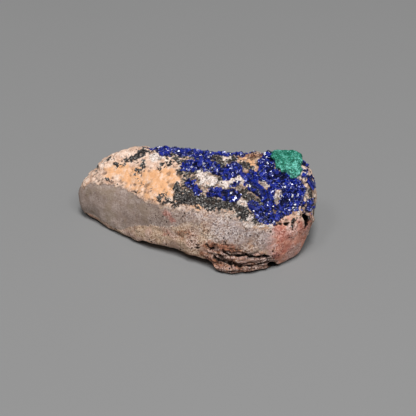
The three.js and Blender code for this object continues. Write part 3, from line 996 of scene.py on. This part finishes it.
def limestone_material():
    material, wire, mm = new_material("limestone")
    height = mm.height()
    broad = mm.mottle(4.0, 3.0, 0.55, 3.0)
    patchy = mm.mottle(1.8, 4.0, 0.6, 5.0)
    medium = mm.mottle(1.1, 4.0, 0.6, 7.0)
    fine = mm.mottle(0.24, 3.0, 0.6, 1.0)
    dust = mm.mottle(0.17, 2.0, 0.6, 9.0)
    grain = mm.cells(0.3, output=1)
    soft = 0.5 * patchy + 0.3 * medium + 0.2 * fine
    grooves = mm.streaks((6.0, 0.5, 0.4), (0.0, 0.1, 0.0)).mottle(1.0, 3.0, 0.6, 2.0)
    seams = mm.streaks((2.0, 0.6, 0.35), (0.0, -0.5, 0.0)).mottle(1.0, 3.0, 0.6, 6.0)
    sand = 0.15 * medium + 0.55 * fine + 0.3 * grain
    sandy = mm.mottle(2.6, 3.0, 0.6, 13.0).step(0.36, 0.62, 0.35, 1.8)
    grit = 0.5 + (sand - 0.5) * sandy
    ragged = (medium - 0.5) + 0.8 * (fine - 0.5)
    sugar, hollow, slit = [wire.attribute(name) for name in ("sugar", "hollow", "slit")]

    def zone(name, sharp, spread=1.0):
        """Where a coating lies: its mask, with an edge as wide and as ragged as that."""
        return (wire.attribute(name) + spread * ragged).step(0.5 - sharp, 0.5 + sharp)

    def granular(dark, middle, pale, grains=grit, spread=0.11):
        """Three tones of one stone, from its dark grains to its pale ones."""
        stops = [(0.5 - spread, paint(dark)), (0.5, paint(middle)), (0.5 + spread, paint(pale))]
        return grains.stops(stops)

    plain = layered(
        granular(0x7A6454, 0xB89C86, 0xDCC8B6),
        (patchy.step(0.4, 0.62), granular(0x8A7260, 0xCDB39E, 0xEBDACB)),
        (broad.step(0.5, 0.66) * 0.6, granular(0x6E6058, 0xA3958C, 0xCFC4BC)),
        (
            (0.6 * broad + 0.4 * medium).step(0.45, 0.38) * 0.6,
            granular(0x7A5238, 0xBC8E6C, 0xDDB898),
        ),
    )
    crown = layered(
        granular(0xB88F76, 0xE6C6B0, 0xFBE6D6, soft, 0.1),
        (grit.step(0.4, 0.34) * 0.5, 0x8A6E5A),
        (broad.step(0.56, 0.44) * 0.35, granular(0xA98370, 0xDDB49E, 0xF4D8C8)),
    )
    beige = layered(
        granular(0x94735C, 0xC3A58B, 0xDCC4AE, spread=0.14),
        (broad.step(0.4, 0.6), granular(0x86675A, 0xC9A693, 0xE8D0C2, spread=0.13)),
    )
    worn = layered(
        granular(0x8B7971, 0xA08D84, 0xB2A198),
        (patchy.step(0.5, 0.62) * 0.6, 0x8A7566),
        (broad.step(0.5, 0.62) * 0.5, 0x8E7D68),
        (patchy.step(0.44, 0.36) * 0.4, 0xC0AEA4),
        (grooves.step(0.5, 0.36) * 0.35, 0x7F6C60),
        (grooves.step(0.54, 0.68) * 0.3, 0xBBADA5),
    )
    # painted light: the worn face is paler low down, which faces down and gets less light, darker
    # higher up
    worn = height.step(12.0, 2.0).coat(
        layered(worn, (grooves.step(0.2, 0.8) * 0.25, 0x7D6A5F)),
        layered(worn, (fine.step(0.3, 0.7) * 0.35, 0xD6C3B6)),
    )
    worn = layered(worn, (sugar, granular(0x705E56, 0xA28F86, 0xC9B9AF)))
    mottled = layered(
        granular(0x76625A, 0xB1998D, 0xD8C6BC),
        (seams.step(0.5, 0.6) * 0.45, granular(0x6C666D, 0x9E959C, 0xCBC2C5)),
        (medium.step(0.44, 0.34) * 0.7, granular(0x7C6256, 0x9E8072, 0xBCA498)),
        (medium.step(0.56, 0.66) * 0.45, 0xDECCC4),
        (broad.step(0.47, 0.36) * 0.6, granular(0x7C5947, 0xB69581, 0xD8BFAD)),
    )
    rosy = layered(
        granular(0xB86D56, 0xE19E88, 0xF5C7B6, spread=0.16),
        (patchy.step(0.5, 0.4) * 0.6, granular(0xA6523F, 0xCC7864, 0xEBA892, spread=0.16)),
        (broad.step(0.45, 0.6) * 0.7, granular(0xA67F75, 0xD7B4A9, 0xEFD5CD)),
    )
    ledges = layered(
        granular(0x6A483C, 0xB08C80, 0xE0CAC0),
        (medium.step(0.54, 0.62) * 0.4, 0xD9A67C),
        (patchy.step(0.5, 0.62) * 0.7, granular(0x5E2E1B, 0xA66543, 0xCC9676)),
    )
    blots = mm.mottle(0.8, 2.0, 0.5, 31.0) - 0.5
    film = (wire.attribute("oxide") + ragged + 2.4 * blots).step(0.46, 0.56)
    oxide = layered(
        granular(0x08080A, 0x302D2D, 0x6C6865, sand, 0.09), (sand.step(0.595, 0.69), 0xDAD6D0)
    )

    calm = zone("worn", 0.2) * (1.0 - 0.8 * sugar)
    pits = dust.step(0.36, 0.3) * (1.0 - 0.85 * calm)
    pocks = mm.cells(1.1).step(0.24, 0.16) * mm.mottle(3.0, 2.0, 0.5, 21.0).step(0.5, 0.58)
    pocks = pocks * (1.0 - 0.9 * calm) * (1.0 - wire.attribute("orange"))
    glitter = dust.step(0.66, 0.74) * (1.0 - 0.85 * calm) * (1.0 - 0.7 * film)
    colour = layered(
        plain,
        (zone("crown", 0.3), crown),
        (zone("beige", 0.25), beige),
        (zone("worn", 0.12, 0.6), worn),
        (zone("mottled", 0.2), mottled),
        (zone("rosy", 0.35, 1.5), rosy),
        (zone("ledges", 0.2), ledges),
        (zone("bay", 0.3) * ragged.step(-0.14, 0.0) * 0.9, granular(0x1E1C1A, 0x7A6F64, 0xD8CABC)),
        (zone("orange", 0.4, 1.6) * 0.95, granular(0xE2A676, 0xEBB486, 0xF6DCCB, soft, 0.13)),
        (zone("brown", 0.3, 2.0), granular(0x1C1612, 0x6E5646, 0xC4A890, sand)),
        (film, oxide),
        (zone("cream", 0.08, 2.0), granular(0x9A8478, 0xE2D2C8, 0xFAF0EA, sand)),
        # painted shade: a faint brown darkening of the front face
        (zone("painted_shade", 0.5, 2.0) * 0.3, 0x6E5344),
        (zone("ashen", 0.5, 2.0) * 0.4, granular(0x6A6668, 0x9C969C, 0xC8C2C4)),
        (zone("umber", 0.4, 2.0) * 0.85, granular(0x3C1A0E, 0x8C5038, 0xBE8460)),
        (zone("rust", 0.4, 2.0) * 0.6, granular(0x76352A, 0xAE5E50, 0xD09084)),
        # painted shade in the hollows, then pits, pocks and painted glints
        ((hollow + 0.5 * (fine - 0.5)).step(0.62, 0.95) * 0.6, 0x40322A),
        (pits * 0.25, 0x40281E),
        (pocks * 0.85, 0x24120C),
        (glitter * 0.38, 0xFFF8F0),
        # painted shadow at the foot, painted shade on the crystals' beds and in the cracks
        ((height + 2.0 * ragged).step(1.1, 0.2) * 0.75, 0x4A3428),
        ((height + ragged).step(0.7, 0.35), 0x120C09),
        (zone("bed", 0.1), granular(0x03040F, 0x080B2C, 0x1E2350)),
        ((slit + 0.4 * ragged).step(0.34, 0.52), 0x080505),
    )
    lumpy = (0.7 * medium + 0.6 * fine + 0.2 * dust + 0.1 * grain) * (1.0 - 0.7 * calm)
    roughness = 0.86 - 0.3 * film * fine.step(0.45, 0.65) - 0.1 * glitter
    fixed = {"Specular IOR Level": 0.15}
    return surface(material, wire, fixed, colour, roughness, lumpy.bump(0.35))


def azurite_material(settings):
    material, wire, mm = new_material("azurite")
    deep, bright = (*settings.deep_colour, 1.0), (*settings.bright_colour, 1.0)
    tone = wire.attribute("tone")
    cloud = mm.mottle(0.7, 3.0, 0.6)
    scratch = mm.mottle(0.15, 2.0, 0.5, 4.0)
    # low: lower down, where more painted glints are put, as the crystals there face the light
    low = mm.height().step(19.0, 14.0)
    colour = (0.6 * tone + 0.8 * cloud - 0.2).step(0.18, 0.8).coat(deep, bright)
    # painted glints: pale lavender flecks that stand in for light off tiny facets
    painted_glints = (scratch + 0.4 * (cloud - 0.5) + 0.05 * low).step(0.63, 0.7)
    colour = layered(colour, (painted_glints * 0.7, 0x949FE6))
    roughness = 0.06 + 0.22 * tone * cloud
    fixed = {"IOR": 1.8, "Specular IOR Level": 0.65}
    return surface(material, wire, fixed, colour, roughness, (scratch + cloud).bump(0.05, 0.6))


def malachite_material():
    material, wire, mm = new_material("malachite")
    tone = wire.attribute("tone")
    cloud = mm.mottle(1.4, 3.0, 0.55)
    fine = mm.mottle(0.3, 3.0, 0.65, 2.0)
    streak = mm.streaks((1.2, 0.16, 0.4), (0.0, 0.0, 0.9)).mottle(1.0, 2.0, 0.6, 5.0)
    crumbs = mm.cells(0.2, output=1)
    across = mm.node(
        "ShaderNodeVectorMath", {"operation": "DOT_PRODUCT"}, {0: mm, 1: (1, -1, 0)}, 1
    )
    # painted highlights: mint flecks and streaks of sheen, more of them towards large x and small y
    corner = 0.06 * across.step(14.0, 20.0)
    mint_highlights = (0.5 * fine + 0.5 * crumbs + corner).step(0.6, 0.72) * 0.6
    mint_highlights = mint_highlights.larger((streak + corner).step(0.54, 0.62) * cloud.step(0.42, 0.55) * 0.9)
    colour = layered(
        paint(0x005741),
        ((0.5 * cloud + 0.5 * crumbs).step(0.3, 0.7), 0x068D70),
        (mint_highlights, 0x8CE6D6),
        # painted shade: the low places between the clods are darker
        (tone.step(0.4, 0.05) * 0.6, 0x034A3C),
    )
    fibres = fine + 0.5 * crumbs + streak
    fixed = {"Specular IOR Level": 0.4}
    return surface(material, wire, fixed, colour, 0.62 - 0.25 * fine, fibres.bump(0.2))


def floor_material(settings):
    material, wire, mm = new_material("stage_floor")
    paler = [min(1.0, part * 1.02) for part in settings.floor_colour]
    colour = mm.mottle(50.0, 2.0, 0.5).coat((*settings.floor_colour, 1.0), (*paler, 1.0))
    return surface(material, wire, {"Specular IOR Level": 0.2}, colour, 0.9)


# ---------------------------------------------------------------- settings


class RockSettings(bpy.types.PropertyGroup):
    cell: FloatProperty(
        name="Cell", description="Size of the rock's mesh cells", default=0.28 * MM,
        min=0.2 * MM, max=2 * MM, unit="LENGTH", subtype="DISTANCE",
    )
    relief: FloatProperty(
        name="Relief", description="Strength of the rock's relief", default=1.0, min=0.0, max=2.0,
        subtype="FACTOR",
    )
    lift: FloatProperty(
        name="Lift", description="How far the rock's lower edge stands off the floor",
        default=0.4 * MM, min=0.0, max=2 * MM, unit="LENGTH", subtype="DISTANCE",
    )


class AzuriteSettings(bpy.types.PropertyGroup):
    large: FloatProperty(
        name="Large crystals", description="Size of the large crystals", default=0.86 * MM,
        unit="LENGTH", subtype="DISTANCE",
    )
    small: FloatProperty(
        name="Small crystals", description="Size of the small crystals", default=0.48 * MM,
        unit="LENGTH", subtype="DISTANCE",
    )
    tilt: FloatProperty(
        name="Tilt", description="How far crystals lean from upright", default=math.radians(50),
        unit="ROTATION", subtype="ANGLE",
    )
    variation: FloatProperty(
        name="Variation", description="Spread of the crystals' sizes", default=0.3,
        subtype="FACTOR",
    )
    deep_colour: FloatVectorProperty(
        name="Deep blue", description="Colour of the darkest crystals", size=3, subtype="COLOR",
        default=(0.001, 0.002, 0.03), min=0, max=1,
    )
    bright_colour: FloatVectorProperty(
        name="Bright blue", description="Colour of the brightest crystals", size=3,
        subtype="COLOR", default=(0.004, 0.018, 0.31), min=0, max=1,
    )
    seed: IntProperty(name="Seed", description="Which random arrangement is grown", default=7)


class MalachiteSettings(bpy.types.PropertyGroup):
    cell: FloatProperty(
        name="Cell", description="Size of the cushion's mesh cells", default=0.14 * MM,
        unit="LENGTH", subtype="DISTANCE",
    )


class StageSettings(bpy.types.PropertyGroup):
    floor_colour: FloatVectorProperty(
        name="Floor", description="Colour of the floor", size=3, subtype="COLOR",
        default=(0.238, 0.238, 0.238), min=0, max=1,
    )
    azimuth: FloatProperty(
        name="Azimuth", description="Camera's turn round the specimen", default=math.radians(22),
        unit="ROTATION", subtype="ANGLE",
    )
    elevation: FloatProperty(
        name="Elevation", description="Camera's height above the horizon",
        default=math.radians(35), unit="ROTATION", subtype="ANGLE",
    )
    distance: FloatProperty(
        name="Distance", description="Camera's distance from what it looks at", default=0.339,
        unit="LENGTH", subtype="DISTANCE",
    )


class SpecimenSettings(bpy.types.PropertyGroup):
    rock: PointerProperty(type=RockSettings)
    azurite: PointerProperty(type=AzuriteSettings)
    malachite: PointerProperty(type=MalachiteSettings)
    stage: PointerProperty(type=StageSettings)


# ---------------------------------------------------------------- operators


class SPECIMEN_OT_rock(bpy.types.Operator):
    """Build the limestone matrix"""

    bl_idname = "specimen.rock"
    bl_label = "Build the rock"

    def execute(self, context):
        settings = context.scene.specimen.rock
        mesh = even_mesh("matrix_rock", settings.cell)
        shape_rock(mesh, settings)
        mesh.shade_smooth()
        mesh.name = "limestone_matrix"
        piece = new_piece("limestone_matrix", mesh)
        finish_piece(piece, "limestone", limestone_material(), "matrix_rock")
        return {"FINISHED"}


class SPECIMEN_OT_azurite(bpy.types.Operator):
    """Grow the azurite crystals on the rock"""

    bl_idname = "specimen.azurite"
    bl_label = "Grow the azurite"

    def execute(self, context):
        settings = context.scene.specimen.azurite
        rock = bpy.data.objects.get("limestone_matrix")
        if rock is None:
            raise RuntimeError("the rock comes before its crystals")
        material = azurite_material(settings)
        forms = crystal_collection()
        tree = crystal_tree()
        for number, node in enumerate(AZURITE_NODES):
            name = node + "_crystals"
            piece = new_piece(name, patch_of(rock, node, name))
            grow = piece.modifiers.new("growth", "NODES")
            grow.node_group = tree
            values = {
                "Forms": forms,
                "Material": material,
                "Tilt": settings.tilt,
                "Variation": settings.variation,
                "Seed": settings.seed + 100 * number,
            }
            for tier, (spacing, sink) in TIERS.items():
                size = getattr(settings, tier.lower())
                values |= {f"{tier} spacing": size * spacing, f"{tier} size": size}
                values[f"{tier} sink"] = sink
            for socket in tree.interface.items_tree:
                if socket.in_out == "INPUT" and socket.name in values:
                    grow[socket.identifier] = values[socket.name]
            mesh = evaluated_mesh(piece)
            if len(mesh.polygons) == 0:
                raise RuntimeError(f"no crystals grew on {node}")
            if node in BARS:
                add_bars(mesh, BARS[node])
            mesh.name = name
            piece.data = mesh
            finish_piece(piece, "azurite", material, node)
        for form in list(forms.objects):
            bpy.data.objects.remove(form)
        bpy.data.collections.remove(forms)
        return {"FINISHED"}


def shape_cushion(mesh):
    """Rounds the malachite and breaks its surface into velvety clods with a ragged rim."""
    points = points_of(mesh)
    normals = normals_of(mesh)
    points[:, 2] -= 0.5 * ramp(-normals[:, 2], 0.0, 0.5)
    set_points(mesh, points)
    points = smoothed(mesh, 40, 0.5)
    set_points(mesh, points)
    normals = normals_of(mesh)
    rim = 1 - ramp(np.abs(normals[:, 2]), 0.3, 0.9)
    clods = lumps(points, 0.8, 2, 6.1)
    grains = lumps(points, 0.32, 2, 2.9)
    lobes = lumps(points, 1.6, 2, 4.4)
    height = 0.2 + 0.26 * clods + 0.16 * grains + rim * 0.6 * lobes
    height -= 1.0 * ramp(depth_in_strokes(points, PARED), -0.4, 1.0)
    set_points(mesh, points + normals * height[:, None])
    # tone follows the clods' height; the malachite paints the low places darker, as shade
    store(mesh, "tone", np.clip(0.5 + 0.6 * clods + 0.6 * grains, 0, 1))


class SPECIMEN_OT_malachite(bpy.types.Operator):
    """Build the malachite cushion"""

    bl_idname = "specimen.malachite"
    bl_label = "Build the malachite"

    def execute(self, context):
        settings = context.scene.specimen.malachite
        mesh = even_mesh("malachite_cushion", settings.cell)
        shape_cushion(mesh)
        mesh.shade_smooth()
        mesh.name = "malachite_cushion_fine"
        piece = new_piece("malachite_cushion_fine", mesh)
        finish_piece(piece, "malachite", malachite_material(), "malachite_cushion")
        return {"FINISHED"}


# The stage. Each lamp's place in metres, its side in metres and its power in watts.
LAMPS = {
    "softbox_above": ((0.16, -0.36, 1.43), 0.32, 12.5),
    "softbox_front": ((0.34, -0.68, 1.20), 0.45, 8.0),
    "glint_right": ((0.60, -0.41, 1.01), 0.22, 2.4),
    "glint_left": ((-0.20, -0.62, 1.12), 0.22, 2.2),
}
AMBIENT = 0.09
HALF_FLOOR = 1.5
LENS = 110
SENSOR = 36
LOOK_AT = (5.0, -2.4, 10.0)


class SPECIMEN_OT_stage(bpy.types.Operator):
    """Set the floor, the lights and the camera"""

    bl_idname = "specimen.stage"
    bl_label = "Set the stage"

    def execute(self, context):
        settings = context.scene.specimen.stage
        scene = context.scene
        mesh = bpy.data.meshes.new("stage_floor")
        corners = [(-1, -1), (1, -1), (1, 1), (-1, 1)]
        corners = [(x * HALF_FLOOR, y * HALF_FLOOR, 0) for x, y in corners]
        mesh.from_pydata(corners, [], [(0, 1, 2, 3)])
        mesh.materials.append(floor_material(settings))
        floor = new_piece("stage_floor", mesh)

        world = bpy.data.worlds.new("studio")
        world.use_nodes = True
        background = world.node_tree.nodes["Background"]
        background.inputs["Color"].default_value = (1.0, 1.0, 1.0, 1.0)
        background.inputs["Strength"].default_value = AMBIENT
        scene.world = world
        for name, facts in LAMPS.items():
            lamp(name, *facts)

        lens = bpy.data.cameras.new("camera")
        lens.lens = LENS
        lens.sensor_width = SENSOR
        lens.clip_start = 0.01
        camera = bpy.data.objects.new("camera", lens)
        scene.collection.objects.link(camera)
        turn, rise = settings.azimuth, settings.elevation
        outward = Vector((
            math.sin(turn) * math.cos(rise), -math.cos(turn) * math.cos(rise), math.sin(rise)
        ))
        camera.location = Vector(LOOK_AT) * MM + outward * settings.distance
        camera.rotation_euler = outward.to_track_quat("Z", "Y").to_euler()
        scene.camera = camera
        scene.view_settings.view_transform = "Standard"
        return {"FINISHED"}


def lamp(name, place, size, watts):
    """A square soft light that looks at the specimen."""
    light = bpy.data.lights.new(name, "AREA")
    light.size = size
    light.energy = watts
    holder = bpy.data.objects.new(name, light)
    holder.location = place
    holder.rotation_euler = Vector(place).to_track_quat("Z", "Y").to_euler()
    bpy.context.scene.collection.objects.link(holder)


class SPECIMEN_PT_panel(bpy.types.Panel):
    """The specimen's pieces, in the order they are built"""

    bl_label = "Azurite specimen"
    bl_idname = "SPECIMEN_PT_panel"
    bl_space_type = "VIEW_3D"
    bl_region_type = "UI"
    bl_category = "Specimen"

    def draw(self, context):
        settings = context.scene.specimen
        for operator, group in BUILD_ORDER:
            box = self.layout.box()
            box.operator(operator.bl_idname)
            chosen = getattr(settings, group)
            for name in chosen.__annotations__:
                box.prop(chosen, name)


BUILD_ORDER = [
    (SPECIMEN_OT_rock, "rock"),
    (SPECIMEN_OT_azurite, "azurite"),
    (SPECIMEN_OT_malachite, "malachite"),
    (SPECIMEN_OT_stage, "stage"),
]
CLASSES = [
    RockSettings,
    AzuriteSettings,
    MalachiteSettings,
    StageSettings,
    SpecimenSettings,
    *[operator for operator, _ in BUILD_ORDER],
    SPECIMEN_PT_panel,
]


def register():
    for made in CLASSES:
        bpy.utils.register_class(made)
    bpy.types.Scene.specimen = PointerProperty(type=SpecimenSettings)


def unregister():
    del bpy.types.Scene.specimen
    for made in reversed(CLASSES):
        bpy.utils.unregister_class(made)


def main():
    register()
    bpy.ops.specimen.rock()
    bpy.ops.specimen.azurite()
    bpy.ops.specimen.malachite()
    bpy.ops.specimen.stage()


if __name__ == "__main__":
    main()
